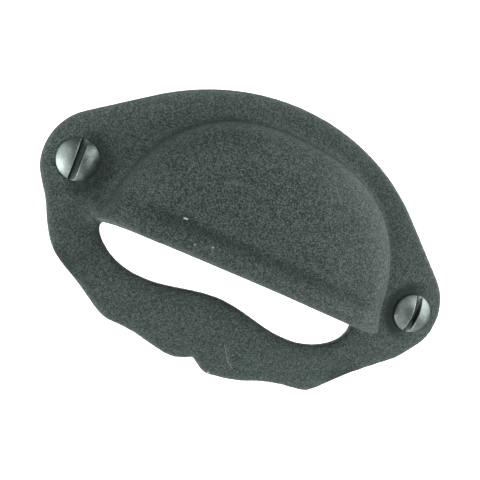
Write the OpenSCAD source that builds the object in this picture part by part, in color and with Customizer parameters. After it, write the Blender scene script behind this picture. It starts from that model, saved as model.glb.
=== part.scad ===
// Cup pull of pressed iron sheet, held by two slotted screws.
// X runs across, Y from front to back and Z up. The back of the sheet lies at Y = 0, the hood
// stands out towards -Y, and the origin is midway between the two screw holes.

/* [Sheet] */
// Thickness of the iron sheet, in the plate and the hood alike
sheet_t = 2; // [1.4:0.1:2.6]
// Distance between the centres of the two screw holes
hole_spacing = 92; // [88:1:100]
// Diameter of the screw holes
hole_d = 4.6; // [4.4:0.1:5.2]

/* [Outline] */
// Width of the flat sheet above the foot of the hood, at the middle
top_margin = 4.5; // [3:0.5:9]
// Radius of the round ears
ear_r = 13.5; // [11:0.5:15]
// How far the centre of an ear's arc lies inside its screw hole
ear_inset = 5.6; // [4:0.1:7]
// Height of the centre of an ear's arc above the screw hole
ear_lift = 0.1; // [0:0.1:2]
// How much further in the right ear lies than the left one
right_ear_in = 0.5; // [0:0.1:1]
// How much lower the right ear lies than the left one
right_ear_drop = 0.3; // [0:0.1:1.6]
// Slope of the straight shoulders between the ears and the crown, in degrees
shoulder_slope = 38.5; // [36:0.5:42]
// Depth of the lowest lobe of the lower edge below the screw holes
plate_drop = 34.3; // [32:0.1:40]

/* [Hood] */
// Width of the hood between its side walls, at the sheet
hood_w = 71.4; // [68:0.2:75]
// Height of the hood from the ends of its rim to the foot of its top wall
hood_h = 36.8; // [33:0.1:42]
// Squareness of the hood's plan, where 2 is an ellipse
hood_power = 2.4; // [2:0.05:2.6]
// Depth of the ends of the rim below the screw holes
rim_drop = 10.3; // [9:0.1:12]
// Height of the edge of the face in front of the sheet
face_h = 12.5; // [11:0.1:16]
// Slope of the face at its edge, in degrees, which makes the face crowned
face_slope = 8; // [4:1:12]
// Lean of the walls from upright, in degrees
wall_draft = 6; // [2:1:10]
// Radius of the hollow fillet at the foot of the walls
foot_r = 2.5; // [1.5:0.1:4]
// Outer radius of the shoulder between the walls and the face
shoulder_r = 9.5; // [4:0.1:10]
// Rise of the rim towards the front, where it leaves the sheet, in degrees
rim_tilt = 9.5; // [4:0.5:16]
// Further rise of the rim at the height of the face's edge, which arches it
rim_arch_h = 0.3; // [0:0.1:2]
// How far the right end of the rim curves up to the sheet
right_end_h = 4; // [2:0.1:5]
// Height up the right wall over which that curve fades out
right_end_reach = 20; // [18:0.5:24]
// How far the face falls back towards the rim, before the lip flares out again
face_droop = 1.5; // [0:0.1:2.5]
// Height above the rim at which the face starts to fall back
droop_h = 16; // [10:0.5:22]
// Height of the flared lip along the rim
lip_h = 6.5; // [4:0.5:9]
// How far the lip flares out at the rim
lip_flare = 1.8; // [0.8:0.1:2.4]
// Softness of the bend between the face and the lip
lip_bend_r = 1.5; // [0.6:0.1:3]

/* [Window] */
// How far each end of the window lies inside the hood's side wall
window_inset = 1.5; // [0.8:0.1:3]
// How far the window sits to the left of the middle
window_shift = 1.3; // [0:0.1:1.6]
// Distance of the low point of each lobe from the middle
lobe_x = 19.5; // [16:0.5:23]
// Depth of the lobes below the ends of the rim
lobe_drop = 8.9; // [7:0.1:10.5]
// Rise of the bump between the two lobes
bump_h = 2.7; // [1:0.1:4]
// How far the round ends of the window reach above the ends of the rim
end_rise = 0.8; // [0.3:0.1:2]
// Height of the small round at each top corner of the window
corner_h = 2.3; // [1.2:0.1:3]
// How far the top corners of the window reach above the ends of the rim
corner_rise = 1; // [0.4:0.1:1.4]

/* [Screws] */
// Diameter of the screw heads
head_d = 9.9; // [8.5:0.1:11.5]
// Height of the screw heads
head_h = 2.6; // [2.2:0.1:3.4]
// Height of the upright edge of the screw heads
head_edge = 0.5; // [0.3:0.1:0.9]
// Width of the slot
slot_w = 1.5; // [1:0.1:1.8]
// Depth of the slot
slot_depth = 2; // [1.4:0.1:2.1]
// Turn of the slots from upright, in degrees
slot_turn = -5; // [-30:1:30]
// Diameter of the plain neck in the sheet
neck_d = 4.2; // [3.8:0.1:4.3]
// Diameter of the core behind the sheet
core_d = 3; // [2.6:0.1:3.4]
// Length of the screw behind the sheet, with its point
shank_l = 15; // [12:1:30]
// Length of the point
point_l = 4; // [3:0.5:6]

/* [Hidden] */
iron = [0.27, 0.31, 0.30];
steel = [0.56, 0.60, 0.59];
$fn = 64;
overcut = 1;
// How far the flat sheet runs on into the foot of the hood, so that the two are one piece
lap = 0.2;
hole_x = hole_spacing / 2;
rim_z = -rim_drop;

// Steps along each curve
plan_steps = 26;
fillet_steps = 5;
shoulder_steps = 8;
face_steps = 12;
arc_steps = 10;
crown_steps = 15;
spline_steps = 6;
window_steps = 10;
// How closely the rows of the face crowd towards the rim, where 1 is evenly
rim_crowding = 1.5;

// Waypoints of the wavy lower edge, from the right ear to the notch and on to the left ear:
// across as a share of the hole's distance from the middle, down as a share of plate_drop
right_edge = [[1.10, 0.235], [1.04, 0.345], [0.96, 0.44], [0.83, 0.59], [0.72, 0.74], [0.65, 0.83],
  [0.60, 0.855], [0.48, 0.875], [0.37, 0.91], [0.27, 0.96], [0.17, 0.99], [0.10, 1], [0.05, 0.995]];
left_edge = [[-0.075, 0.96], [-0.125, 0.98], [-0.18, 0.98], [-0.28, 0.955], [-0.38, 0.925],
  [-0.48, 0.915], [-0.55, 0.905], [-0.62, 0.86], [-0.74, 0.76], [-0.87, 0.665], [-0.94, 0.59],
  [-1.00, 0.475], [-1.06, 0.325], [-1.11, 0.23]];
notch = [-0.03, 0.93];

// Half width and height of the hood's plan, and the bends of its section
half_w = hood_w / 2;
wall_turn = 90 - wall_draft;
foot_out = foot_r * tan(wall_turn / 2);
wall_top = face_h - shoulder_r * (cos(face_slope) - cos(wall_turn));
face_r = half_w - wall_top / tan(wall_turn) - shoulder_r * (sin(wall_turn) - sin(face_slope));
plate_top = rim_z + hood_h + foot_out * hood_h / half_w + top_margin;

// Section of the outer skin, from the foot to the edge of the face, as [distance out from the wall's
// foot, height, angle of the surface]
section = [
  for (i = [0:fillet_steps]) let (a = wall_turn * i / fillet_steps)
    [foot_out - foot_r * sin(a), foot_r * (1 - cos(a)), a],
  for (i = [0:shoulder_steps]) let (a = wall_turn + (face_slope - wall_turn) * i / shoulder_steps)
    [-wall_top / tan(wall_turn) - shoulder_r * (sin(wall_turn) - sin(a)),
      wall_top + shoulder_r * (cos(a) - cos(wall_turn)), a]
];

// Angles round the plan from the right end of the rim to the left end, crowded towards both ends
function plan_angle(j) = j <= plan_steps
  ? 90 * (1 - cos(90 * j / plan_steps))
  : 180 - plan_angle(2 * plan_steps - j);

function power_share(v) = sign(v) * pow(abs(v), 2 / hood_power);
function plan_point(share, angle) =
  share * [half_w * power_share(cos(angle)), hood_h * power_share(sin(angle))];
function plan_share(p) =
  pow(pow(abs(p[0]) / half_w, hood_power) + pow(p[1] / hood_h, hood_power), 1 / hood_power);

// Soft ramp that is near 0 below 0 and near d above it
function ramp(d) = (d + sqrt(d * d + lip_bend_r * lip_bend_r)) / 2;
function flare(up) = lip_flare * ramp(lip_h - up) / ramp(lip_h);
function droop(up) = face_droop * pow(max(1 - up / droop_h, 0), 2);
function rim_lift(h) = h * tan(rim_tilt) + rim_arch_h * pow(h / face_h, 2);
function right_end_lift(plan, h) = right_end_h * pow(max(plan[0] / half_w, 0), 2)
  * pow(max(1 - plan[1] / right_end_reach, 0), 2) * max(1 - h / face_h, 0);

// A point of the hood, from a point [across, up] of its plan and a height in front of the sheet
function hood_point(plan, height) =
  let (lip = flare(plan[1]))
  let (h = height * (1 + (height > 0 ? (lip - droop(plan[1])) / face_h : 0)))
  let (front = max(h, 0))
  let (lift = rim_lift(front) + right_end_lift(plan, front))
  [plan[0] * (1 + lip / half_w), -sheet_t - h, rim_z + lift + plan[1] * (1 - lift / hood_h)];

// A point of a skin that lies a depth inside the outer one, on the section at an angle round the plan
function section_point(p, angle, depth) =
  hood_point(plan_point(1 + (p[0] - depth * sin(p[2])) / half_w, angle), p[1] - depth * cos(p[2]));

// The same on the crowned face, at a share of the way up from the rim to the edge of the face
function face_point(s, angle, depth) =
  let (edge = plan_point(face_r / half_w, angle))
  let (plan = [edge[0], s * edge[1]])
  let (out = plan_share(plan) * half_w / face_r)
  let (slope = atan(out * tan(face_slope)))
  let (inset = depth * cos(slope) * tan(face_slope) / face_r)
  hood_point(plan * (1 - inset),
    face_h + face_r * tan(face_slope) * (1 - out * out) / 2 - depth * cos(slope));

angles = [for (j = [0:2 * plan_steps]) plan_angle(j)];
// Ring along the foot of the hood in the flat sheet, running straight down at both ends of the rim
foot = [foot_out - lap, 0, 0];
left_end_z = rim_z + lap;
right_end_z = section_point(foot, 0, 0)[2] + lap;
foot_points = [
  for (a = angles) let (p = section_point(foot, a, 0))
    if (p[2] > (a < 90 ? right_end_z : left_end_z)) [p[0], p[2]]
];
left_foot_x = foot_points[len(foot_points) - 1][0];
foot_ring = [[foot_points[0][0], right_end_z], each foot_points, [left_foot_x, left_end_z]];

// Outline curves
function arc(centre, r, from, to, steps) =
  [for (i = [0:steps]) let (a = from + (to - from) * i / steps) centre + r * [cos(a), sin(a)]];

function between(a, b, c, d, t) =
  (2 * b + (c - a) * t + (2 * a - 5 * b + 4 * c - d) * t * t + (3 * b - a - 3 * c + d) * t * t * t) / 2;

// Smooth curve through the points, without its first and last, which only steer its ends
function spline(points) = [
  for (i = [1:len(points) - 3], k = [0:spline_steps - 1])
    between(points[i - 1], points[i], points[i + 1], points[i + 2], k / spline_steps)
];

function edge_point(share) = [share[0] * hole_x, -share[1] * plate_drop];

left_ear = [ear_inset - hole_x, ear_lift];
right_ear = [hole_x - ear_inset - right_ear_in, ear_lift - right_ear_drop];
ear_end = -22;
// Each half of the crown is an arc that meets its straight shoulder and lies level at the middle
function shoulder_reach(ear) =
  abs(ear[0]) * sin(shoulder_slope) + ear[1] * cos(shoulder_slope) + ear_r;
function crown_r(ear) =
  (shoulder_reach(ear) - plate_top * cos(shoulder_slope)) / (1 - cos(shoulder_slope));
function crown_half(ear, from, to) =
  arc([0, plate_top - crown_r(ear)], crown_r(ear), from, to, crown_steps);
shoulder_turn = 90 - shoulder_slope;

function mirrored(points) = [for (i = [len(points) - 1:-1:0]) [-points[i][0], points[i][1]]];

right_arc = arc(right_ear, ear_r, ear_end, shoulder_turn, arc_steps);
right_crown = crown_half(right_ear, shoulder_turn, 90);
left_crown = crown_half(left_ear, 90, 180 - shoulder_turn);
crown_arc = [each right_crown, for (i = [1:crown_steps]) left_crown[i]];
left_arc = arc(left_ear, ear_r, 180 - shoulder_turn, 180 - ear_end, arc_steps);
notch_point = edge_point(notch);
right_points = [for (s = right_edge) edge_point(s)];
left_points = [for (s = left_edge) edge_point(s)];
right_lower = spline([right_arc[1], right_arc[0], each right_points, notch_point, notch_point]);
left_lower = spline([notch_point, notch_point, each left_points, left_arc[arc_steps],
  left_arc[arc_steps - 1]]);
lower_edge = [each right_lower, each left_lower];
outline = [each right_arc, each crown_arc, each left_arc, each reversed(lower_edge)];

function reversed(points) = [for (i = [len(points) - 1:-1:0]) points[i]];

// Window below the rim: two lobes with a bump between them, and round ends with small top corners
window_end = half_w - window_inset;
end_w = window_end - lobe_x;
end_h = lobe_drop + end_rise;
end_z = rim_z + end_rise;
corner_z = rim_z + corner_rise;
corner_from = asin((corner_h + end_rise - corner_rise) / end_h);
corner_start = [lobe_x + end_w * cos(corner_from), corner_z - corner_h];
corner_lean = atan(end_w * sin(corner_from) / (end_h * cos(corner_from)));
corner_r = corner_h / (1 + sin(corner_lean));
corner_centre = corner_start + corner_r * [-cos(corner_lean), sin(corner_lean)];
corner_turn = 50;
corner_tip = corner_centre[0] + corner_r * (cos(corner_turn) - (1 - sin(corner_turn)) * tan(corner_turn));
lobe_z = rim_z - lobe_drop;
bump = [for (i = [0:window_steps - 1]) let (s = i / window_steps)
  [s * lobe_x, lobe_z + bump_h * (1 + cos(180 * s)) / 2]];
lobe_end = [for (i = [0:window_steps - 1]) let (a = -90 + (90 - corner_from) * i / window_steps)
  [lobe_x + end_w * cos(a), end_z + end_h * sin(a)]];
lobe = [each bump, each lobe_end];
corner = arc(corner_centre, corner_r, -corner_lean, corner_turn, arc_steps / 2);
corner_x = corner_centre[0] + corner_r;
// On the left the corner hooks in under the rim, and on the right it runs straight up behind the lip
left_half = [each lobe, each corner, [corner_tip, corner_z], [half_w, corner_z]];
right_half = [each lobe, [corner_x, corner_centre[1]], [corner_x, right_end_z]];
window = [each mirrored([for (i = [1:len(left_half) - 1]) left_half[i]]), each right_half];
opening = [each foot_ring, for (p = window) p - [window_shift, 0]];

// Sheet standing upright: a flat outline in X and Z, from the back at Y = 0 to the front
module upright(points) {
  rotate([90, 0, 0])
    linear_extrude(sheet_t)
      polygon(points);
}

module plate() {
  difference() {
    upright(outline);
    translate([0, overcut, 0])
      rotate([90, 0, 0])
        linear_extrude(sheet_t + 2 * overcut)
          polygon(opening);
    for (side = [-1, 1])
      translate([side * hole_x, overcut, 0])
        rotate([90, 0, 0])
          cylinder(d = hole_d, h = sheet_t + 2 * overcut);
  }
}

// Number of a point of one skin: the rows of the section first, then those of the face down to the
// rim, which close to a single point at both ends
columns = len(angles);
edge_row = len(section) - 1;
rim_row = edge_row + face_steps;
function skin_index(i, j) =
  i <= edge_row ? i * columns + j
  : j == 0 || j == columns - 1 ? edge_row * columns + j
  : (edge_row + 1) * columns + (i - edge_row - 1) * (columns - 2) + j - 1;

function skin(depth) = [
  for (p = section, a = angles) section_point(p, a, depth),
  for (i = [1:face_steps], j = [1:columns - 2])
    face_point(pow(1 - i / face_steps, rim_crowding), angles[j], depth)
];

// Two triangles for a cell of four corners, less any that has no area
function cell(a, b, c, d) = [
  if (a != b) [a, b, c],
  if (c != d) [a, c, d]
];

// Drawn hood: an outer and an inner skin, closed along the foot and along the rim
module hood() {
  outer = skin(0);
  inside = len(outer);
  rim = [
    for (i = [0:edge_row]) skin_index(i, 0),
    for (j = [1:columns - 2]) skin_index(rim_row, j),
    for (i = [edge_row:-1:0]) skin_index(i, columns - 1)
  ];
  outer_faces = [
    for (i = [0:rim_row - 1], j = [0:columns - 2])
      each cell(skin_index(i, j), skin_index(i + 1, j), skin_index(i + 1, j + 1), skin_index(i, j + 1))
  ];
  faces = [
    each outer_faces,
    for (f = outer_faces) [f[0] + inside, f[2] + inside, f[1] + inside],
    for (j = [0:columns - 2]) [j, j + 1, j + 1 + inside, j + inside],
    for (k = [0:len(rim) - 2])
      each cell(rim[k], rim[k] + inside, rim[k + 1] + inside, rim[k + 1])
  ];
  polyhedron([each outer, each skin(sheet_t)], faces, convexity = 6);
}

module pull() {
  color(iron)
    union() {
      plate();
      hood();
    }
}

// Half section of a screw, from the crown of its head to its point, as [radius, distance back]
module screw_section() {
  rise = head_h - head_edge;
  dome_r = (head_d * head_d / 4 + rise * rise) / (2 * rise);
  dome_turn = asin(head_d / 2 / dome_r);
  polygon([
    for (i = [0:arc_steps]) let (a = dome_turn * i / arc_steps)
      [dome_r * sin(a), -sheet_t - head_h + dome_r * (1 - cos(a))],
    [head_d / 2, -sheet_t],
    [neck_d / 2, -sheet_t],
    [neck_d / 2, 0],
    [core_d / 2, 0],
    [core_d / 2, shank_l - point_l],
    [0, shank_l]
  ]);
}

module screw() {
  difference() {
    rotate([-90, 0, 0])
      rotate_extrude()
        screw_section();
    rotate([0, slot_turn, 0])
      translate([-slot_w / 2, -sheet_t - head_h - overcut, -head_d])
        cube([slot_w, slot_depth + overcut, 2 * head_d]);
  }
}

module screws() {
  color(steel)
    for (side = [-1, 1])
      translate([side * hole_x, 0, 0])
        screw();
}

pull();
screws();
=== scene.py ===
# %% [markdown]
# Cup pull in sand-textured iron
# This lesson dresses a small cup pull: one piece of iron sheet with a drawn hood, and two slotted
# screws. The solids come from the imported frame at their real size. Here they get soft edges, a cast
# skin, threads and finishes, and then a light set-up and a camera.

# %% Load the frame
import math
from functools import partial

import bmesh
import bpy
from mathutils import Matrix, Vector


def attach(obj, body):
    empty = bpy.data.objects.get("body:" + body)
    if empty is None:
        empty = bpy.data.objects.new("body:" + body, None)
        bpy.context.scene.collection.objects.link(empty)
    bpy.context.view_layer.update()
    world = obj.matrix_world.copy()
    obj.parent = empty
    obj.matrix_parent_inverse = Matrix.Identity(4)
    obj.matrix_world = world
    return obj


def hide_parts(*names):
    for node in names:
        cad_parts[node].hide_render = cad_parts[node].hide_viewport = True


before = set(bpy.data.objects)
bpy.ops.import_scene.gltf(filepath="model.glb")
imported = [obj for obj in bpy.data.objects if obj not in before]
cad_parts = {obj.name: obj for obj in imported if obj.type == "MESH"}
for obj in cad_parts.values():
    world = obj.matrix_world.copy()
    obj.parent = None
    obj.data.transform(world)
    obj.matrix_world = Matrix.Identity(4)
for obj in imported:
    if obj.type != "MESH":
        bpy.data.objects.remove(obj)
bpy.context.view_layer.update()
MM = 0.001

# %% [markdown]
# Node trees are built in the script, so a few small helpers carry the rest of the lesson. One places a
# node, sets its properties and either links or sets each of its inputs. Others do sums with numbers and
# with vectors. The last two make an empty tree with named inputs and outputs, and link named results.

# %% Helpers for single nodes
def add(tree, kind, inputs=None, **settings):
    """A node with its properties set and each named or numbered input linked or given a value."""
    node = tree.nodes.new(kind)
    for key, value in settings.items():
        setattr(node, key, value)
    for key, value in (inputs or {}).items():
        if isinstance(value, bpy.types.NodeSocket):
            tree.links.new(value, node.inputs[key])
        else:
            node.inputs[key].default_value = value
    return node


def math_node(tree, operation, *values, clamp=False):
    """The result of a math node on one to three values or sockets."""
    node = add(tree, "ShaderNodeMath", dict(enumerate(values)), operation=operation, use_clamp=clamp)
    return node.outputs[0]


def vector_math(tree, operation, *values):
    """The vector that a vector math node makes of its inputs."""
    return add(tree, "ShaderNodeVectorMath", dict(enumerate(values)), operation=operation).outputs[0]


def vector_value(tree, operation, first, second):
    """The number that a vector math node makes of two vectors."""
    return add(tree, "ShaderNodeVectorMath", {0: first, 1: second}, operation=operation).outputs["Value"]


def scaled(tree, vector, factor):
    """A vector times a number."""
    return add(tree, "ShaderNodeVectorMath", {0: vector, "Scale": factor}, operation="SCALE").outputs[0]


print("helpers for nodes ready")

# %% Helpers for whole trees
FLOAT, VECTOR, INTEGER = "NodeSocketFloat", "NodeSocketVector", "NodeSocketInt"
GEOMETRY, MATERIAL = "NodeSocketGeometry", "NodeSocketMaterial"


def new_group(name, kind, inputs, outputs):
    """An empty node group with named inputs (with their defaults) and outputs."""
    tree = bpy.data.node_groups.new(name, kind)
    for label, socket_type in outputs.items():
        tree.interface.new_socket(label, in_out="OUTPUT", socket_type=socket_type)
    for label, (socket_type, default) in inputs.items():
        socket = tree.interface.new_socket(label, in_out="INPUT", socket_type=socket_type)
        if default is not None:
            socket.default_value = default
    return tree, tree.nodes.new("NodeGroupInput").outputs, tree.nodes.new("NodeGroupOutput").inputs


def link_all(tree, results, sockets):
    """Link each named result to the socket of that name."""
    for label, result in results.items():
        tree.links.new(result, sockets[label])


print("helpers for trees ready")

# %% [markdown]
# The iron has a fine sandy skin, and the screw heads have a scuffed one. Both could have noise nodes of
# their own, but then the two would drift apart as they are tuned. A shader group is built once and placed
# in each material with its own grain size. Its cells are single grains: each has a shade of its own for
# the colour and the gloss, and a rounded top for the bump.

# %% Sand grain as a shader group
# Clumps of grains: their scale as a share of the grains' own, and how far their contrast is stretched
CLUMP_SCALE, CLUMP_GAIN, CLUMP_SHIFT = 0.4, 2.4, -0.7
# The shades are raised to this power, so that dark grains are more common than pale ones
GRAIN_POWER = 1.7
CLUMP_PART, GRAIN_PART = 0.06, 0.84
# How much lower a grain is at its edge than in its middle
GRAIN_FALL = -0.5

grain_group, grain_in, grain_out = new_group(
    "sand_grain", "ShaderNodeTree",
    {"Vector": (VECTOR, None), "Grain Size": (FLOAT, 0.4 * MM), "Patch Size": (FLOAT, 12 * MM)},
    {"Speckle": FLOAT, "Patches": FLOAT, "Height": FLOAT})
grain_math = partial(math_node, grain_group)
grain_scale = grain_math("DIVIDE", 1.0, grain_in["Grain Size"])
patch_scale = grain_math("DIVIDE", 1.0, grain_in["Patch Size"])
clump_scale = grain_math("MULTIPLY", grain_scale, CLUMP_SCALE)
grains = add(grain_group, "ShaderNodeTexVoronoi", {"Vector": grain_in["Vector"], "Scale": grain_scale})
clumps = add(grain_group, "ShaderNodeTexNoise", {
    "Vector": grain_in["Vector"], "Scale": clump_scale, "Detail": 2.0})
patches = add(grain_group, "ShaderNodeTexNoise", {
    "Vector": grain_in["Vector"], "Scale": patch_scale, "Detail": 3.0})
shade = add(grain_group, "ShaderNodeSeparateColor", {0: grains.outputs["Color"]}).outputs[0]
clump_share = grain_math("MULTIPLY_ADD", clumps.outputs[0], CLUMP_GAIN, CLUMP_SHIFT, clamp=True)
grain_share = grain_math("MULTIPLY", grain_math("POWER", shade, GRAIN_POWER), GRAIN_PART)
link_all(grain_group, {
    "Speckle": grain_math("MULTIPLY_ADD", clump_share, CLUMP_PART, grain_share),
    "Patches": patches.outputs[0],
    "Height": grain_math("MULTIPLY_ADD", grains.outputs["Distance"], GRAIN_FALL, shade)}, grain_out)
print("shader group:", grain_group.name)

# %% [markdown]
# A finish wears thin on what stands out, and the hollows get painted shade. The mesh carries two attributes:
# edge, measured over a short span, and relief, measured over a wide one. Both are above 0 where the
# surface stands out and below 0 in a hollow. Two more are stored: one marks the sheet round the window,
# where nothing rubs the finish and painted shade darkens its edges, and one holds painted shadow and shade
# at the screw heads, in the crease and in the slots. This group turns them into masks, so that each
# material only says how strong they are.

# %% Wear and painted shade masks as a shader group
# How far an edge is worn where the breakup is 0
EDGE_BASE = 0.4

wear_shade_group, wear_in, wear_out = new_group(
    "wear_and_shade_masks", "ShaderNodeTree",
    {"Breakup": (FLOAT, 0.5), "Edge Reach": (FLOAT, 1.0), "Rise Reach": (FLOAT, 1.0),
     "Hollow Reach": (FLOAT, 1.0)},
    {"Edge": FLOAT, "Rise": FLOAT, "Hollow": FLOAT, "Window Shade": FLOAT, "Painted Shade": FLOAT})
wear_math = partial(math_node, wear_shade_group)


def attribute(tree, name):
    """The value of one of the mesh's named attributes."""
    return add(tree, "ShaderNodeAttribute", attribute_name=name).outputs["Fac"]


relief = attribute(wear_shade_group, "relief")
unworn_and_shaded = attribute(wear_shade_group, "unworn_and_shaded")
rubbed = wear_math("SUBTRACT", 1.0, unworn_and_shaded)
broken_edge = wear_math("MULTIPLY", attribute(wear_shade_group, "edge"),
                        wear_math("ADD", wear_in["Breakup"], EDGE_BASE))
edge = wear_math("MULTIPLY", broken_edge, wear_in["Edge Reach"], clamp=True)
rise = wear_math("MULTIPLY", relief, wear_in["Rise Reach"], clamp=True)
sunken = wear_math("MULTIPLY", relief, -1.0)
link_all(wear_shade_group, {
    "Edge": wear_math("MULTIPLY", edge, rubbed),
    "Rise": wear_math("MULTIPLY", rise, rubbed),
    # Painted shade in the hollows
    "Hollow": wear_math("MULTIPLY", sunken, wear_in["Hollow Reach"], clamp=True),
    # Painted shade on the edges of the sheet round the window
    "Window Shade": wear_math("MULTIPLY", relief, unworn_and_shaded, clamp=True),
    # Painted shadow at the screws, and painted shade in the crease and the slots
    "Painted Shade": attribute(wear_shade_group, "painted_shade")}, wear_out)
print("shader group:", wear_shade_group.name)

# %% [markdown]
# Both finishes start from a Principled BSDF and Object coordinates, mix colours by masks, and end in a
# colour, a roughness and a bump. These helpers do that, so the cells of the materials stay short.

# %% Helpers for materials
def new_material(name):
    """A material with its tree, its shader and the place on the object that its patterns read."""
    material = bpy.data.materials.new(name)
    material.use_nodes = True
    tree = material.node_tree
    place = add(tree, "ShaderNodeTexCoord").outputs["Object"]
    return material, tree, tree.nodes["Principled BSDF"], place


def group_node(tree, group, inputs):
    """The outputs of a shader group that is placed in a material with its own values."""
    return add(tree, "ShaderNodeGroup", inputs, node_tree=group).outputs


def mix_colour(tree, amount, low, high):
    """The colour low where the amount is 0 and high where it is 1."""
    # The mix node has sockets of the same name for other kinds of data, so colours go in by number
    return add(tree, "ShaderNodeMix", {0: amount, 6: low, 7: high}, data_type="RGBA").outputs[2]


def surface(tree, shader, grain, colour, roughness, strength, depth):
    """Lead a colour, a roughness and the bump of the grains to a shader."""
    bump = add(tree, "ShaderNodeBump", {
        "Height": grain["Height"], "Strength": strength, "Distance": depth})
    link_all(tree, {"Base Color": colour, "Roughness": roughness, "Normal": bump.outputs[0]}, shader.inputs)


print("helpers for materials ready")

# %% [markdown]
# The iron has chips and a faint scratch, painted highlights on two places that catch the light, and
# painted shadows on the sheet. They could be painted by hand. Here each mark is a short line on the
# surface with a width, a strength and a colour, so that one function draws them all, and the list is easy
# to read and to change.

# %% Marks on the iron
IRON_DARK = (0.003, 0.014, 0.011, 1)
CHIP_AND_HIGHLIGHT_WHITE = (0.62, 0.66, 0.63, 1)
# Each mark: both ends on the surface in mm, half width in metres, strength and colour
IRON_MARKS = [
    # Chips
    ((-20.7, -14.7, -1.20), (-20.0, -14.8, -1.10), 0.22 * MM, 1.0, CHIP_AND_HIGHLIGHT_WHITE),
    ((-16.3, -15.8, -5.5), (-16.2, -15.8, -5.4), 0.20 * MM, 0.6, CHIP_AND_HIGHLIGHT_WHITE),
    ((-12.3, -15.9, -4.4), (-12.2, -15.9, -4.4), 0.22 * MM, 0.7, CHIP_AND_HIGHLIGHT_WHITE),
    ((3.7, -1.9, -34.0), (3.9, -1.9, -34.0), 0.22 * MM, 0.9, CHIP_AND_HIGHLIGHT_WHITE),
    # A faint scratch with a bend
    ((4.6, -2.0, -26.3), (7.2, -2.0, -29.8), 0.16 * MM, 0.22, CHIP_AND_HIGHLIGHT_WHITE),
    ((7.2, -2.0, -29.8), (9.0, -2.0, -30.9), 0.16 * MM, 0.22, CHIP_AND_HIGHLIGHT_WHITE),
    # Painted highlights on the left end of the lip and on the right shoulder of the hood
    ((-38.6, -4.0, -9.2), (-30.5, -8.0, -8.0), 3.2 * MM, 0.03, CHIP_AND_HIGHLIGHT_WHITE),
    ((12.0, -14.5, 21.0), (25.0, -14.5, -3.0), 7.0 * MM, 0.014, CHIP_AND_HIGHLIGHT_WHITE),
    # Painted shadows on the sheet, left of the window, above the left screw and along the right foot of the
    # hood
    ((-40.5, -2.0, -12.0), (-34.0, -2.0, -20.0), 4.5 * MM, 0.15, IRON_DARK),
    ((-43.4, -2.0, 4.5), (-41.0, -2.0, 9.5), 4.5 * MM, 0.15, IRON_DARK),
    ((21.0, -4.0, 27.5), (32.5, -4.0, 15.5), 4.0 * MM, 0.14, IRON_DARK),
]
# How much each axis counts for the spread of a mark: the depth counts less than the place on the surface
MARK_FLATNESS = (1, 0.3, 1)
# How steeply a mark fades: at 2 it is full to half its half width, and it has gone at the whole of it
MARK_FALL = 2.0


def line_distance(tree, place, start, end):
    """Distance in metres of the place from a straight line between two points in mm."""
    flatness = Vector(MARK_FLATNESS)
    first = Vector(start) * MM * flatness
    way = Vector(end) * MM * flatness - first
    offset = vector_math(tree, "SUBTRACT", vector_math(tree, "MULTIPLY", place, flatness), first)
    along = vector_value(tree, "DOT_PRODUCT", offset, way / way.length_squared)
    share = math_node(tree, "ADD", along, 0.0, clamp=True)
    return vector_value(tree, "DISTANCE", offset, scaled(tree, way, share))


def with_marks(tree, place, colour):
    """The colour of the iron with all its marks on it."""
    for start, end, width, strength, mark_colour in IRON_MARKS:
        off_mark = math_node(tree, "DIVIDE", line_distance(tree, place, start, end), width)
        mark = math_node(tree, "MULTIPLY_ADD", off_mark, -MARK_FALL, MARK_FALL, clamp=True)
        colour = mix_colour(tree, math_node(tree, "MULTIPLY", mark, strength), colour, mark_colour)
    return colour


print("marks on the iron:", len(IRON_MARKS))

# %% [markdown]
# The iron's finish is a matt green-grey with dark and pale grains. It is slightly paler on its edges, and
# darker on the drawn face of the hood. Painted shade darkens it in hollows, round the window and in the
# crease, and painted shadow lies by the screw heads. It is a dielectric coat on metal, so it is not
# metallic in the shader: its soft sheen comes from the roughness.

# %% Dark iron
IRON_PALE = (0.141, 0.186, 0.166, 1)
IRON_WORN = (0.15, 0.19, 0.175, 1)
IRON_GRAIN, IRON_PATCH = 0.22 * MM, 14 * MM
IRON_WEAR_AND_SHADE = {"Edge Reach": 0.25, "Rise Reach": 0.07, "Hollow Reach": 3.0}
# How far each mask of painted shade and shadow takes the colour to the dark one
IRON_PAINTED_SHADE = {"Hollow": 0.15, "Window Shade": 0.42, "Painted Shade": 0.75}
# What the patches, the flat sheet and the drawn face add to the tone
IRON_PATCHES, SHEET_TONE, DRAWN_TONE = 0.12, 0.02, -0.13
# Roughness of a dark grain, and what a pale one adds to it
IRON_ROUGH, PALE_ROUGH = 0.7, -0.2
IRON_BUMP, IRON_BUMP_DEPTH = 0.2, 0.08 * MM
IRON_SPECULAR = 0.4

iron, tree, shader, place = new_material("dark_iron")
iron_math = partial(math_node, tree)
grain = group_node(tree, grain_group, {"Vector": place, "Grain Size": IRON_GRAIN, "Patch Size": IRON_PATCH})
wear_and_shade = group_node(tree, wear_shade_group, {"Breakup": grain["Speckle"], **IRON_WEAR_AND_SHADE})
drawn_shade = iron_math("MULTIPLY_ADD", attribute(tree, "drawn"), DRAWN_TONE, SHEET_TONE)
tone = iron_math("MULTIPLY_ADD", grain["Patches"], IRON_PATCHES,
                 iron_math("ADD", grain["Speckle"], drawn_shade), clamp=True)
colour = mix_colour(tree, tone, IRON_DARK, IRON_PALE)
for mask in ("Rise", "Edge"):
    colour = mix_colour(tree, wear_and_shade[mask], colour, IRON_WORN)
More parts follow.
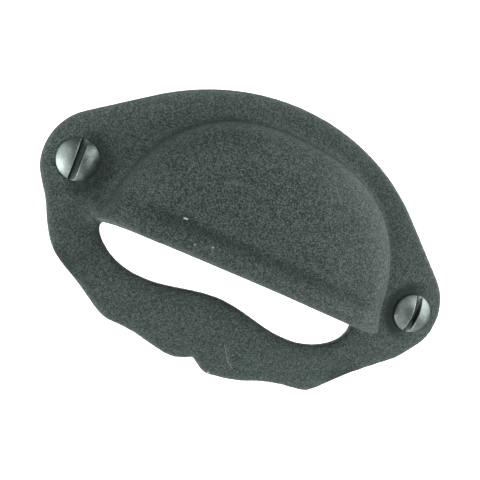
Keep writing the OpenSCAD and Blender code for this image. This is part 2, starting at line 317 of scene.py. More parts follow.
# Painted shade in hollows, round the window and in the crease, and painted shadow by the screw heads
for mask, strength in IRON_PAINTED_SHADE.items():
    colour = mix_colour(tree, iron_math("MULTIPLY", wear_and_shade[mask], strength), colour, IRON_DARK)
roughness = iron_math("MULTIPLY_ADD", grain["Speckle"], PALE_ROUGH, IRON_ROUGH)
surface(tree, shader, grain, with_marks(tree, place, colour), roughness, IRON_BUMP, IRON_BUMP_DEPTH)
shader.inputs["Specular IOR Level"].default_value = IRON_SPECULAR
print("material:", iron.name)

# %% [markdown]
# The screws are plain steel with a satin, lightly scuffed surface. Here the metal itself shows, so the
# shader is metallic, and the shared groups are used again with values of their own. One side of each head
# has a painted highlight, and a band of painted shade lies beside it. Lamps alone would light both heads in
# the same way, so the painted highlight is a mask round the middle of each head.

# %% Painted highlight and shade on the heads
HOLE_SPACING = 92 * MM
# For the left and the right head: the way, across and up, to the side with the painted highlight, and how far
# on the other side the band of painted shade lies, as a share of the span
HIGHLIGHT_SIDES = {-1: (-0.95, -0.30, 0.4), 1: (-0.55, 0.85, 0.3)}
HIGHLIGHT_SPAN = 4.5 * MM


def painted_highlight_side(tree, place):
    """From 1 on the painted highlight of each screw head to 0 on its band of painted shade."""
    spot = add(tree, "ShaderNodeSeparateXYZ", {0: place}).outputs
    on_right = math_node(tree, "GREATER_THAN", spot["X"], 0.0)
    shares = []
    for side, (across, upward, band) in HIGHLIGHT_SIDES.items():
        from_middle = math_node(tree, "SUBTRACT", spot["X"], side * HOLE_SPACING / 2)
        toward = math_node(tree, "MULTIPLY_ADD", from_middle, across / HIGHLIGHT_SPAN,
                           math_node(tree, "MULTIPLY", spot["Z"], upward / HIGHLIGHT_SPAN))
        this_head = on_right if side > 0 else math_node(tree, "SUBTRACT", 1.0, on_right)
        off_band = math_node(tree, "ABSOLUTE", math_node(tree, "ADD", toward, band))
        shares.append(math_node(tree, "MULTIPLY", math_node(tree, "DIVIDE", off_band, 1 + band), this_head))
    return math_node(tree, "ADD", *shares)


print("heads at", -HOLE_SPACING / 2, "and", HOLE_SPACING / 2)

# %% Screw steel
STEEL_DARK = (0.07, 0.085, 0.08, 1)
STEEL_PALE = (0.37, 0.44, 0.415, 1)
STEEL_WORN = (0.27, 0.32, 0.30, 1)
STEEL_GRAIN, STEEL_PATCH = 0.4 * MM, 2.5 * MM
STEEL_WEAR_AND_SHADE = {"Edge Reach": 1.0, "Hollow Reach": 0.05}
# What the painted highlight, the patches and the scuffs add to the tone, and where the tone starts
HIGHLIGHT_PART, STEEL_PATCHES, SCUFF_PART, STEEL_TONE = 0.8, 0.4, 0.3, -0.16
# Least roughness, and what the patches add to it
STEEL_ROUGH, PATCH_ROUGH = 0.3, 0.2
STEEL_BUMP, STEEL_BUMP_DEPTH = 0.15, 0.05 * MM

steel, tree, shader, place = new_material("screw_steel")
steel_math = partial(math_node, tree)
grain = group_node(tree, grain_group, {"Vector": place, "Grain Size": STEEL_GRAIN, "Patch Size": STEEL_PATCH})
wear_and_shade = group_node(tree, wear_shade_group, {"Breakup": grain["Patches"], **STEEL_WEAR_AND_SHADE})
scuffs = steel_math("MULTIPLY_ADD", grain["Speckle"], SCUFF_PART, STEEL_TONE)
uneven = steel_math("MULTIPLY_ADD", grain["Patches"], STEEL_PATCHES, scuffs)
# Painted highlight on one side of each head, and painted shade on the band beside it
tone = steel_math("MULTIPLY_ADD", painted_highlight_side(tree, place), HIGHLIGHT_PART, uneven, clamp=True)
colour = mix_colour(tree, tone, STEEL_DARK, STEEL_PALE)
# Edges are worn pale; the hollows and one wall of the slot get painted shade
for mask, mask_colour in (("Edge", STEEL_WORN), ("Hollow", IRON_DARK), ("Painted Shade", IRON_DARK)):
    colour = mix_colour(tree, wear_and_shade[mask], colour, mask_colour)
roughness = steel_math("MULTIPLY_ADD", grain["Patches"], PATCH_ROUGH, STEEL_ROUGH)
surface(tree, shader, grain, colour, roughness, STEEL_BUMP, STEEL_BUMP_DEPTH)
shader.inputs["Metallic"].default_value = 1.0
print("material:", steel.name)

# %% [markdown]
# Geometry trees work as modifiers, and the finished part has to be plain mesh. So each tree ends by
# realising its instances and giving the finish, and the evaluated result then becomes a new object in
# place of the one with the modifier.

# %% Helpers for geometry trees
def store(tree, geometry, name, value):
    """The geometry with a value stored on its points under a name."""
    return add(tree, "GeometryNodeStoreNamedAttribute", {
        "Geometry": geometry, "Name": name, "Value": value}, data_type="FLOAT", domain="POINT").outputs[0]


def close_tree(tree, geometry, finish, outputs):
    """Realise the geometry, give it its finish and lead it to the output of the tree."""
    realized = add(tree, "GeometryNodeRealizeInstances", {"Geometry": geometry})
    finished = add(tree, "GeometryNodeSetMaterial", {"Geometry": realized.outputs[0], "Material": finish})
    tree.links.new(finished.outputs[0], outputs["Geometry"])


def linked_object(name, data):
    """A new object of the scene with the given data."""
    obj = bpy.data.objects.new(name, data)
    bpy.context.scene.collection.objects.link(obj)
    return obj


def dress(obj, tree, values):
    """A plain mesh object made by the tree from obj, with the named inputs set, in place of obj."""
    modifier = obj.modifiers.new(tree.name, "NODES")
    modifier.node_group = tree
    sockets = {s.name: s.identifier for s in tree.interface.items_tree if s.in_out == "INPUT"}
    for label, value in values.items():
        modifier[sockets[label]] = value
    bpy.context.view_layer.update()
    evaluated = obj.evaluated_get(bpy.context.evaluated_depsgraph_get())
    mesh = bpy.data.meshes.new_from_object(evaluated)
    name = obj.name
    bpy.data.objects.remove(obj)
    piece = linked_object(name, mesh)
    mesh.name = name
    return piece


def even_mesh(obj, voxel):
    """Remesh obj into even squares of the given size."""
    remesh = obj.modifiers.new("even", "REMESH")
    remesh.mode = "VOXEL"
    remesh.voxel_size = voxel
    remesh.use_smooth_shade = True


print("helpers for geometry ready")

# %% [markdown]
# Pressed and painted iron has no sharp edge anywhere, and its skin is not quite flat. A bevel would need
# clean edge loops, which a solid with a drawn hood does not have. So the mesh is made even first, and a
# Geometry Nodes tree then relaxes it: blurring the positions rounds every edge by the same amount, and
# the difference from a wider blur says where the edges and hollows are. One soft spot can be relaxed
# further. A little noise along the normal gives the unevenness of the casting, and a thin coat gives back
# what the relaxing takes off.

# %% Cast skin: the tree and its measures
skin_tree, skin_in, skin_out = new_group(
    "cast_skin", "GeometryNodeTree",
    {"Geometry": (GEOMETRY, None), "Rounding": (INTEGER, 4), "Edge Span": (INTEGER, 12),
     "Edge Depth": (FLOAT, 0.1 * MM), "Hollow Span": (INTEGER, 100), "Hollow Depth": (FLOAT, 0.5 * MM),
     "Wave Size": (FLOAT, 3 * MM), "Wave Height": (FLOAT, 0.1 * MM), "Coat": (FLOAT, 0.0),
     "Seed": (FLOAT, 0.0), "Soft Spot": (VECTOR, None), "Soft Reach": (FLOAT, 0.0),
     "Soft Steps": (INTEGER, 0), "Finish": (MATERIAL, None)},
    {"Geometry": GEOMETRY})
skin_math = partial(math_node, skin_tree)
position = add(skin_tree, "GeometryNodeInputPosition").outputs[0]
normal = add(skin_tree, "GeometryNodeInputNormal").outputs[0]


def blurred_position(steps, weight=1.0):
    """The position of each point, averaged with its neighbours the given number of times."""
    blur = add(skin_tree, "GeometryNodeBlurAttribute", {"Iterations": steps, "Weight": weight},
               data_type="FLOAT_VECTOR")
    value = [s for s in blur.inputs if s.name == "Value" and s.enabled][0]
    skin_tree.links.new(position, value)
    return [s for s in blur.outputs if s.enabled][0]


def mark_relief(geometry, name, steps, depth):
    """Store how far each point stands out from the blurred form, as a share of a depth."""
    stand_out = vector_math(skin_tree, "SUBTRACT", position, blurred_position(steps))
    height = vector_value(skin_tree, "DOT_PRODUCT", stand_out, normal)
    return store(skin_tree, geometry, name, skin_math("DIVIDE", height, depth))


print("geometry tree:", skin_tree.name)

# %% Cast skin: its steps
# How steeply the soft spot fades: at 2 it is fully soft to half its reach
SPOT_FALL = 2.0
NOISE_MIDDLE = 0.5

edges_marked = mark_relief(skin_in["Geometry"], "edge", skin_in["Edge Span"], skin_in["Edge Depth"])
hollows_marked = mark_relief(edges_marked, "relief", skin_in["Hollow Span"], skin_in["Hollow Depth"])
softened = add(skin_tree, "GeometryNodeSetPosition", {
    "Geometry": hollows_marked, "Position": blurred_position(skin_in["Rounding"])})
from_spot = vector_value(skin_tree, "DISTANCE", position, skin_in["Soft Spot"])
nearness = skin_math("SUBTRACT", 1.0, skin_math("DIVIDE", from_spot, skin_in["Soft Reach"]), clamp=True)
near_spot = skin_math("MULTIPLY", nearness, SPOT_FALL, clamp=True)
melted = add(skin_tree, "GeometryNodeSetPosition", {
    "Geometry": softened.outputs[0], "Position": blurred_position(skin_in["Soft Steps"], near_spot)})
waves = add(skin_tree, "ShaderNodeTexNoise", {
    "Vector": position, "W": skin_in["Seed"],
    "Scale": skin_math("DIVIDE", 1.0, skin_in["Wave Size"]), "Detail": 1.0}, noise_dimensions="4D")
wave_height = skin_math("MULTIPLY_ADD", skin_in["Wave Height"],
                        skin_math("SUBTRACT", waves.outputs[0], NOISE_MIDDLE), skin_in["Coat"])
waved = add(skin_tree, "GeometryNodeSetPosition", {
    "Geometry": melted.outputs[0], "Offset": scaled(skin_tree, normal, wave_height)})
shaded = add(skin_tree, "GeometryNodeSetShadeSmooth", {"Geometry": waved.outputs[0]})
close_tree(skin_tree, shaded.outputs[0], skin_in["Finish"], skin_out)
print("cast skin:", len(skin_tree.nodes), "nodes")

# %% [markdown]
# Above the lip runs a shallow pressed crease, at one height above the rim from end to end. It could be
# sculpted, but it follows a rule, so a second tree makes it: the height above the rim is worked out from
# each point's place, and a soft groove is pressed back there. Most of its masks are fades: full on one
# side of a limit, and nothing on the other.

# %% Lip crease: the tree and its fades
SHEET = 2.0 * MM

lip_tree, lip_in, lip_out = new_group(
    "lip_crease", "GeometryNodeTree",
    {"Geometry": (GEOMETRY, None), "Sheet": (FLOAT, SHEET), "Rim Drop": (FLOAT, 10.3 * MM),
     "Rim Tilt": (FLOAT, math.radians(9.5)), "Hood Height": (FLOAT, 36.8 * MM),
     "Crease Up": (FLOAT, 6 * MM), "Crease Width": (FLOAT, 3 * MM), "Crease Depth": (FLOAT, 0.3 * MM),
     "Crease Reach": (FLOAT, 33 * MM), "Hole Distance": (FLOAT, HOLE_SPACING / 2),
     "Seat Reach": (FLOAT, 8.6 * MM), "Window Left": (FLOAT, 1.3 * MM), "Window Half": (FLOAT, 36 * MM),
     "Window Drop": (FLOAT, 9.5 * MM), "Lip Sag": (FLOAT, 0.6 * MM), "Swell Across": (FLOAT, -38.2 * MM),
     "Swell Drop": (FLOAT, 9 * MM), "Swell Reach": (FLOAT, 4.5 * MM), "Swell Height": (FLOAT, 0.8 * MM)},
    {"Geometry": GEOMETRY})
lip_math = partial(math_node, lip_tree)


def product(first, *others):
    """The product of two or more values in the tree of the lip."""
    for value in others:
        first = lip_math("MULTIPLY", first, value)
    return first


def fade(value, full, none):
    """1 where the value is at full or beyond it, down to 0 at none."""
    return lip_math("DIVIDE", lip_math("SUBTRACT", value, none), lip_math("SUBTRACT", full, none), clamp=True)


lip_place = add(lip_tree, "GeometryNodeInputPosition").outputs[0]
across, backward, upward = add(lip_tree, "ShaderNodeSeparateXYZ", {0: lip_place}).outputs
front = lip_math("SUBTRACT", product(backward, -1.0), lip_in["Sheet"])
across_size = lip_math("ABSOLUTE", across)
print("geometry tree:", lip_tree.name)

# %% Lip crease: the groove
# Distances in front of the sheet where the hood's drawn face is full, and where it has gone
ON_DRAWN = (9 * MM, 6 * MM)
# Length over which the crease fades at each end
CREASE_END = 9 * MM

rim_lift = product(front, lip_math("TANGENT", lip_in["Rim Tilt"]))
stretch = lip_math("SUBTRACT", 1.0, lip_math("DIVIDE", rim_lift, lip_in["Hood Height"]))
from_rim = lip_math("SUBTRACT", lip_math("ADD", upward, lip_in["Rim Drop"]), rim_lift)
above_rim = lip_math("DIVIDE", from_rim, stretch)
off_middle = lip_math("SUBTRACT", above_rim, lip_in["Crease Up"])
off_crease = lip_math("DIVIDE", off_middle, lip_in["Crease Width"])
groove = lip_math("SUBTRACT", 1.0, product(off_crease, off_crease), clamp=True)
on_front = fade(front, *ON_DRAWN)
full_reach = lip_math("SUBTRACT", lip_in["Crease Reach"], CREASE_END)
on_crease = product(on_front, fade(across_size, full_reach, lip_in["Crease Reach"]))
crease = product(groove, groove, on_crease)
print("crease starts", ON_DRAWN[1], "m in front of the sheet")

# %% [markdown]
# The left end of the lip hangs a little lower than the rest, and swells where it melts into the sheet.
# Both are small offsets with soft limits, so they join the crease in one offset of each point.

# %% Lip crease: the left end of the lip
# Places across, and heights above the rim, where the sag is full and where it has gone
SAG_LEFT, SAG_RIGHT = (-41 * MM, -45 * MM), (-34 * MM, 8 * MM)
SAG_BELOW, SAG_ABOVE = (-1 * MM, -5 * MM), (2 * MM, 8 * MM)

left_end = product(fade(across, *SAG_RIGHT), fade(across, *SAG_LEFT))
near_rim = product(fade(above_rim, *SAG_ABOVE), fade(above_rim, *SAG_BELOW))
sag = product(left_end, near_rim, lip_in["Lip Sag"])
from_swell = lip_math("SUBTRACT", across, lip_in["Swell Across"])
swell_x = lip_math("DIVIDE", from_swell, lip_in["Swell Reach"])
swell_z = lip_math("DIVIDE", lip_math("ADD", upward, lip_in["Swell Drop"]), lip_in["Swell Reach"])
off_swell = lip_math("MULTIPLY_ADD", swell_x, swell_x, product(swell_z, swell_z))
swell_share = lip_math("SUBTRACT", 1.0, off_swell, clamp=True)
swell = product(swell_share, swell_share, lip_in["Swell Height"])
back_off = lip_math("SUBTRACT", product(crease, lip_in["Crease Depth"]), swell)
moved = add(lip_tree, "ShaderNodeCombineXYZ", {"Y": back_off, "Z": product(sag, -1.0)})
print("the lip sags between x =", SAG_LEFT[1], "and", SAG_RIGHT[1])

# %% [markdown]
# Painted shadow lies on the sheet between each screw head and the hood, and painted shade in the crease,
# where a darker line runs along the bottom. The same tree marks these places, because it already knows the
# distances.

# %% Lip crease: painted shadow and shade
# Part of the seat's reach that is fully shaded, and its fades: by the turn towards the hood, by the
# distance in front of the sheet and by the half of the pull. The right seat has more painted shadow.
SEAT_CORE = 0.8
SEAT_TURN, SEAT_FRONT, RIGHT_HALF = (0.4, -0.3), (2 * MM, 4.5 * MM), (1 * MM, -1 * MM)
SEAT_SHADOW, RIGHT_EXTRA = 0.85, 0.4
# The darker line of painted shade: how far above the crease's middle, as a share of its width, how narrow,
# and its fade
LINE_UP, LINE_POWER, LINE_SIDES = 0.2, 6.0, (-20 * MM, 30 * MM)
CREASE_SHADE, LINE_SHADE = 0.3, 0.45

inward = lip_math("SUBTRACT", lip_in["Hole Distance"], across_size)
from_screw = lip_math("SQRT", lip_math("ADD", product(inward, inward), product(upward, upward)))
near_screw = fade(from_screw, product(lip_in["Seat Reach"], SEAT_CORE), lip_in["Seat Reach"])
toward_hood = fade(lip_math("DIVIDE", inward, from_screw), *SEAT_TURN)
seat_strength = lip_math("MULTIPLY_ADD", fade(across, *RIGHT_HALF), RIGHT_EXTRA, SEAT_SHADOW)
# Painted shadow on the sheet beside each screw head, on the side towards the hood
seat = product(near_screw, toward_hood, fade(front, *SEAT_FRONT), seat_strength)
off_line = lip_math("SUBTRACT", off_crease, LINE_UP)
line_share = lip_math("SUBTRACT", 1.0, product(off_line, off_line), clamp=True)
bottom_line = product(lip_math("POWER", line_share, LINE_POWER), on_crease)
line_strength = product(fade(across, *LINE_SIDES), LINE_SHADE)
# Painted shade in the crease, with a darker line along its bottom
crease_shade = lip_math("MULTIPLY_ADD", bottom_line, line_strength, product(crease, CREASE_SHADE))
painted_shade = lip_math("MAXIMUM", crease_shade, seat)
print("dirt at the screws and in the crease")

# %% [markdown]
# Fingers reach in behind the lip and hardly touch the sheet round the window, so its edges are not worn
# pale there, and painted shade darkens them, as the hood shades them. The outline of the window could be
# followed exactly, but this unworn, shaded zone is soft, so the window is taken as a box, and the zone
# fades with the distance beyond it.

# %% Lip crease: unworn and shaded sheet, and the end of the tree
# Distances in front of the sheet, and beyond the window, where the unworn, shaded zone is full and where it
# has gone
ON_SHEET, UNWORN_SHADE_REACH = (0.5 * MM, 3 * MM), (3 * MM, 6 * MM)

half_drop = product(lip_in["Window Drop"], 0.5)
off_side = lip_math("ABSOLUTE", lip_math("ADD", across, lip_in["Window Left"]))
beyond_side = lip_math("SUBTRACT", off_side, lip_in["Window Half"])
window_middle = lip_math("ADD", lip_in["Rim Drop"], half_drop)
off_height = lip_math("ABSOLUTE", lip_math("ADD", upward, window_middle))
beyond_window = lip_math("MAXIMUM", beyond_side, lip_math("SUBTRACT", off_height, half_drop))
# Not worn there, and darkened by painted shade
unworn_shaded_sheet = product(fade(beyond_window, *UNWORN_SHADE_REACH), fade(front, *ON_SHEET))

geometry = lip_in["Geometry"]
# Painted shade, the unworn and shaded sheet, and the drawn face are stored on the points
for name, value in (("painted_shade", painted_shade), ("unworn_and_shaded", unworn_shaded_sheet), ("drawn", on_front)):
    geometry = store(lip_tree, geometry, name, value)
pressed = add(lip_tree, "GeometryNodeSetPosition", {"Geometry": geometry, "Offset": moved.outputs[0]})
close_tree(lip_tree, pressed.outputs[0], iron, lip_out)
print("lip crease:", len(lip_tree.nodes), "nodes")

# %% [markdown]
# The pull itself is one piece. Its form is already right in the solid, so a copy of that mesh is merged,
# made even, creased and relaxed, and it stands for the solid at the same place. The left end of the lip
# melts into the sheet, so that spot is relaxed further.

# %% The pull
PULL_VOXEL = 0.385 * MM
MERGE_REACH = 0.001 * MM
LIP_END = (-40 * MM, -3.0 * MM, -10.5 * MM)


def merged_copy(name, source):
    """A copy of a node's mesh with its loose triangles merged."""
    mesh = source.data.copy()
    shape = bmesh.new()
    shape.from_mesh(mesh)
    bmesh.ops.remove_doubles(shape, verts=shape.verts, dist=MERGE_REACH)
    shape.to_mesh(mesh)
    shape.free()
    mesh.materials.clear()
    return linked_object(name, mesh)


blank = merged_copy("iron_pull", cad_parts["pull"])
even_mesh(blank, PULL_VOXEL)
blank = dress(blank, lip_tree, {"Crease Up": 6 * MM, "Crease Width": 3 * MM, "Crease Depth": 0.35 * MM})
pull = dress(blank, skin_tree, {
    "Rounding": 2, "Edge Span": 14, "Edge Depth": 0.12 * MM, "Hollow Span": 100, "Hollow Depth": 0.5 * MM,
    "Wave Size": 2.5 * MM, "Wave Height": 0.06 * MM, "Coat": 0.1 * MM, "Seed": 3.0, "Soft Spot": LIP_END,
    "Soft Reach": 4.5 * MM, "Soft Steps": 120, "Finish": iron})
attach(pull, "root")
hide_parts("pull")
print("pull:", len(pull.data.polygons), "faces")

# %% [markdown]
# Each screw is turned from bar: a low domed head with a slot, a plain neck and a tapered core. The turned
# form is a profile spun round its axis, and the slot is a saw cut, so it is cut with a bar as wide as the
# saw. The result is made even and relaxed in the same way as the pull.

# %% The turned screw
HEAD_R, HEAD_H, HEAD_EDGE = 4.95 * MM, 2.6 * MM, 0.5 * MM
NECK_R, CORE_R, SHANK_L, POINT_L = 2.1 * MM, 1.5 * MM, 15 * MM, 4 * MM
CROWN_Y = -SHEET - HEAD_H
TURN_STEPS, DOME_STEPS = 72, 12


def screw_profile():
    """Half section of a screw as (radius, distance back), from the crown to the point."""
    rise = HEAD_H - HEAD_EDGE
    dome_r = (HEAD_R ** 2 + rise ** 2) / (2 * rise)
    dome_turn = math.asin(HEAD_R / dome_r)
    angles = [dome_turn * i / DOME_STEPS for i in range(1, DOME_STEPS + 1)]
    dome = [(dome_r * math.sin(a), CROWN_Y + dome_r * (1 - math.cos(a))) for a in angles]
    return dome + [(HEAD_R, -SHEET), (NECK_R, -SHEET), (NECK_R, 0), (CORE_R, 0), (CORE_R, SHANK_L - POINT_L)]


def mesh_object(name, shape):
    """A mesh object made from a bmesh, which is freed."""
    mesh = bpy.data.meshes.new(name)
    shape.to_mesh(mesh)
    shape.free()
    return linked_object(name, mesh)


def turned_screw():
    """Mesh object of the screw before its slot is cut, round the Y axis."""
    shape = bmesh.new()
    rings = []
    for radius, back in screw_profile():
        turns = [2 * math.pi * k / TURN_STEPS for k in range(TURN_STEPS)]
        rings.append([shape.verts.new((radius * math.cos(t), back, radius * math.sin(t))) for t in turns])
    crown = shape.verts.new((0, CROWN_Y, 0))
    tip = shape.verts.new((0, SHANK_L, 0))
    for k in range(TURN_STEPS):
        after = (k + 1) % TURN_STEPS
        shape.faces.new((crown, rings[0][k], rings[0][after]))
        shape.faces.new((tip, rings[-1][after], rings[-1][k]))
        for upper, lower in zip(rings, rings[1:]):
            shape.faces.new((upper[k], lower[k], lower[after], upper[after]))
    bmesh.ops.recalc_face_normals(shape, faces=shape.faces)
    return mesh_object("screw", shape)


screw = turned_screw()
print("turned screw:", len(screw.data.polygons), "faces")

# %% The slot and the skin of the screw
SLOT_W, SLOT_DEPTH, SLOT_TURN = 1.5 * MM, 2.0 * MM, math.radians(-5)
SCREW_VOXEL = 0.11 * MM


def saw_bar():
    """Mesh object of the bar that cuts the slot: longer than the head, and open to the front."""
    length, depth = 3 * HEAD_R, 2 * SLOT_DEPTH
    shape = bmesh.new()
    bmesh.ops.create_cube(shape, size=1.0)
    bmesh.ops.transform(shape, verts=shape.verts, matrix=(
        Matrix.Rotation(SLOT_TURN, 4, "Y")
        @ Matrix.Translation((0, CROWN_Y + SLOT_DEPTH - depth / 2, 0))
        @ Matrix.Diagonal((SLOT_W, depth, length, 1))))
    return mesh_object("saw_bar", shape)


bar = saw_bar()
cut = screw.modifiers.new("slot", "BOOLEAN")
cut.operation = "DIFFERENCE"
cut.solver = "EXACT"
cut.object = bar
even_mesh(screw, SCREW_VOXEL)
screw = dress(screw, skin_tree, {
    "Rounding": 3, "Edge Span": 10, "Edge Depth": 0.04 * MM, "Hollow Span": 40, "Hollow Depth": 0.2 * MM,
    "Wave Size": 1.2 * MM, "Wave Height": 0.02 * MM, "Seed": 8.0, "Finish": steel})
bpy.data.objects.remove(bar)
print("screw:", len(screw.data.polygons), "faces")

# %% [markdown]
# The thread is a ridge on a helix, and the two screws are the same screw twice. Both are rules, so a
# geometry tree makes them: a spiral is drawn in to follow the core and the point, a small ridge is swept
# along it, and the whole screw is placed on two points. Realising the instances makes plain mesh. The
# slots get painted shade against one wall, so the tree marks that too.

# %% Screw pair: the thread
THREAD_STEPS, RIDGE_CORNERS = 32, 4

pair_tree, pair_in, pair_out = new_group(
    "screw_pair", "GeometryNodeTree",
    {"Geometry": (GEOMETRY, None), "Spacing": (FLOAT, HOLE_SPACING), "Pitch": (FLOAT, 1.6 * MM),
     "Ridge": (FLOAT, 0.5 * MM), "Core Radius": (FLOAT, CORE_R), "Length": (FLOAT, SHANK_L),
     "Point": (FLOAT, POINT_L), "Finish": (MATERIAL, None)},
    {"Geometry": GEOMETRY})
pair_math = partial(math_node, pair_tree)
spiral = add(pair_tree, "GeometryNodeCurveSpiral", {
    "Resolution": THREAD_STEPS, "Rotations": pair_math("DIVIDE", pair_in["Length"], pair_in["Pitch"]),
    "Start Radius": 1.0, "End Radius": 1.0, "Height": pair_in["Length"]})
screw_place = add(pair_tree, "GeometryNodeInputPosition").outputs[0]
along = add(pair_tree, "ShaderNodeSeparateXYZ", {0: screw_place}).outputs
left_to_go = pair_math("SUBTRACT", pair_in["Length"], along["Z"])
taper = pair_math("DIVIDE", left_to_go, pair_in["Point"], clamp=True)
radius = pair_math("MULTIPLY", pair_in["Core Radius"], taper)
helix_place = add(pair_tree, "ShaderNodeCombineXYZ", {
    "X": pair_math("MULTIPLY", along["X"], radius), "Y": along["Z"],
    "Z": pair_math("MULTIPLY", along["Y"], radius)})
helix = add(pair_tree, "GeometryNodeSetPosition", {
    "Geometry": spiral.outputs[0], "Position": helix_place.outputs[0]})
ridge = add(pair_tree, "GeometryNodeCurvePrimitiveCircle", {
    "Resolution": RIDGE_CORNERS, "Radius": pair_in["Ridge"]})
thread = add(pair_tree, "GeometryNodeCurveToMesh", {
    "Curve": helix.outputs[0], "Profile Curve": ridge.outputs[0], "Fill Caps": True})
print("geometry tree:", pair_tree.name)

# %% Screw pair: painted shade in the slot
# Painted shade in the middle of the slot, and how much it changes from one wall to the other
SLOT_SHADE, SLOT_SHADE_FALL = 0.4, 1.6

slot_side = (math.cos(SLOT_TURN), 0, -math.sin(SLOT_TURN))
over_slot = vector_value(pair_tree, "DOT_PRODUCT", screw_place, slot_side)
in_slot = pair_math("LESS_THAN", pair_math("ABSOLUTE", over_slot), SLOT_W / 2)
below_crown = pair_math("GREATER_THAN", along["Y"], CROWN_Y + SLOT_DEPTH / 2)
left_wall = pair_math("MULTIPLY_ADD", over_slot, -SLOT_SHADE_FALL / SLOT_W, SLOT_SHADE, clamp=True)
slot_shade = pair_math("MULTIPLY", left_wall, pair_math("MULTIPLY", in_slot, below_crown))
slot_shaded = store(pair_tree, pair_in["Geometry"], "painted_shade", slot_shade)
print("slot dirt behind y =", CROWN_Y + SLOT_DEPTH / 2)

# %% Screw pair: one screw in each hole
whole = add(pair_tree, "GeometryNodeJoinGeometry")
for shape in (slot_shaded, thread.outputs[0]):
    pair_tree.links.new(shape, whole.inputs[0])
start = add(pair_tree, "ShaderNodeCombineXYZ", {"X": pair_math("MULTIPLY", pair_in["Spacing"], -0.5)})
step = add(pair_tree, "ShaderNodeCombineXYZ", {"X": pair_in["Spacing"]})
holes = add(pair_tree, "GeometryNodeMeshLine", {
    "Count": 2, "Start Location": start.outputs[0], "Offset": step.outputs[0]})
placed = add(pair_tree, "GeometryNodeInstanceOnPoints", {
    "Points": holes.outputs[0], "Instance": whole.outputs[0]})
close_tree(pair_tree, placed.outputs[0], pair_in["Finish"], pair_out)

screw.name = "slotted_screws"
screws = dress(screw, pair_tree, {"Spacing": HOLE_SPACING, "Pitch": 1.6 * MM, "Finish": steel})
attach(screws, "root")
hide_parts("screws")
print("screws:", len(screws.data.polygons), "faces")

# %% [markdown]
# The stage is a pale floor and a backdrop that stands behind the pull. For the camera and for reflections
# the backdrop is plain white. The floor glows less, so it keeps the shadow of the pull.

# %% Stage
FLOOR_Z, BACK_Y, STAGE_R = -0.6, 0.5, 1.6
FLOOR_GLOW, BACK_GLOW = 0.6, 1.0
STAGE_PALE, WHITE = (0.85, 0.85, 0.85, 1), (1, 1, 1, 1)


def seen_rays(tree):
    """1 for what the camera sees directly, in a reflection or through glass, else 0."""
    path = add(tree, "ShaderNodeLightPath").outputs
    rays = math_node(tree, "MAXIMUM", path["Is Camera Ray"], path["Is Glossy Ray"])
    return math_node(tree, "MAXIMUM", rays, path["Is Transmission Ray"])


def white_material(name, glow):
    """Pale matt white that adds a glow of the given strength to what the camera sees."""
    material = bpy.data.materials.new(name)
    material.use_nodes = True
    tree = material.node_tree
    tree.nodes.clear()
    matt = add(tree, "ShaderNodeBsdfDiffuse", {"Color": STAGE_PALE})
    light = add(tree, "ShaderNodeEmission", {
        "Color": WHITE, "Strength": math_node(tree, "MULTIPLY", seen_rays(tree), glow)})
    both = add(tree, "ShaderNodeAddShader", {0: matt.outputs[0], 1: light.outputs[0]})
    add(tree, "ShaderNodeOutputMaterial", {"Surface": both.outputs[0]})
    return material


def panel(name, corners, glow):
    """A sheet of the stage with four corners, in white."""
    mesh = bpy.data.meshes.new(name)
    mesh.from_pydata(corners, [], [(0, 1, 2, 3)])
    mesh.materials.append(white_material(name + "_white", glow))
    obj = linked_object(name, mesh)


panel("floor", [(-STAGE_R, -STAGE_R, FLOOR_Z), (STAGE_R, -STAGE_R, FLOOR_Z),
                (STAGE_R, STAGE_R, FLOOR_Z), (-STAGE_R, STAGE_R, FLOOR_Z)], FLOOR_GLOW)
panel("backdrop", [(-STAGE_R, BACK_Y, FLOOR_Z), (STAGE_R, BACK_Y, FLOOR_Z),
                   (STAGE_R, BACK_Y, STAGE_R), (-STAGE_R, BACK_Y, STAGE_R)], BACK_GLOW)
print("floor at", FLOOR_Z, "backdrop at", BACK_Y)

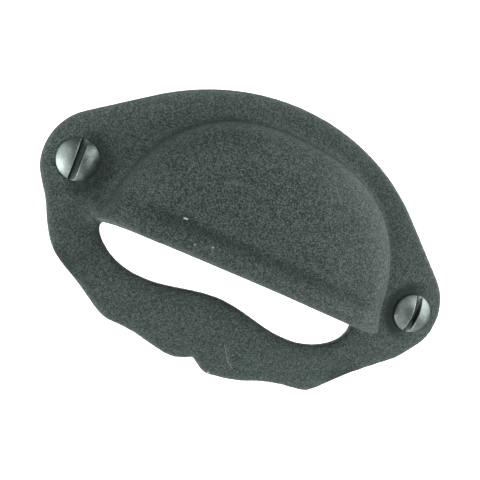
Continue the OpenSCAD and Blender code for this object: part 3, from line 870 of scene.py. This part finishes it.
# %% [markdown]
# Each light is a soft box that faces the pull. Two of them graze the sheet from the right and from the
# left, so that the grain and the hollows show, and the right one is the strongest. A low box lights the
# lip from beneath, a weak box in front shows in the screw heads, and a dim world fills the shadows.

# %% Lights
# Each box: its direction from the pull, its distance and its size in metres, and its power in watts
LIGHTS = {
    "right_box": ((0.83, -0.37, 0.42), 0.7, 0.9, 6.6),
    "left_box": ((-0.85, -0.45, -0.10), 0.7, 0.8, 2.2),
    "low_box": ((-0.67, -0.13, -0.73), 0.7, 0.5, 2.5),
    "front_box": ((0.12, -0.72, 0.68), 0.8, 0.5, 1.0),
}
WORLD_STRENGTH = 0.2


def soft_box(name, direction, distance, size, watts):
    """A square area light that faces the pull."""
    lamp = bpy.data.lights.new(name, "AREA")
    lamp.size = size
    lamp.energy = watts
    obj = linked_object(name, lamp)
    obj.location = Vector(direction).normalized() * distance
    obj.rotation_euler = Vector(direction).to_track_quat("Z", "Y").to_euler()


for name, values in LIGHTS.items():
    soft_box(name, *values)

world = bpy.data.worlds.new("studio")
bpy.context.scene.world = world
world.use_nodes = True
background = world.node_tree.nodes["Background"].inputs
background["Color"].default_value = WHITE
background["Strength"].default_value = WORLD_STRENGTH
bpy.context.scene.view_settings.view_transform = "Standard"
print("lights:", sorted(LIGHTS), "and a dim world")

# %% [markdown]
# The camera stands in front of the pull, a little to the left, and is rolled so that the pull slopes down
# to the right. Its place comes from the screws, the rim and the outline in the picture.

# %% Camera
EYE = Vector((-58.74, -197.67, 11.6)) * MM
YAW, PITCH, ROLL = math.radians(-15.78), math.radians(3.63), math.radians(25.66)
# Lens and sensor in mm as on a camera, and the nearest distance that is drawn in metres
LENS, SENSOR, NEAREST = 63.75, 36, 0.005

camera = linked_object("camera", bpy.data.cameras.new("camera"))
camera.data.lens = LENS
camera.data.sensor_width = SENSOR
camera.data.clip_start = NEAREST
camera.matrix_world = (Matrix.Translation(EYE) @ Matrix.Rotation(YAW, 4, "Z")
                       @ Matrix.Rotation(math.pi / 2 - PITCH, 4, "X") @ Matrix.Rotation(ROLL, 4, "Z"))
bpy.context.scene.camera = camera
print("camera at", [round(v, 3) for v in EYE])
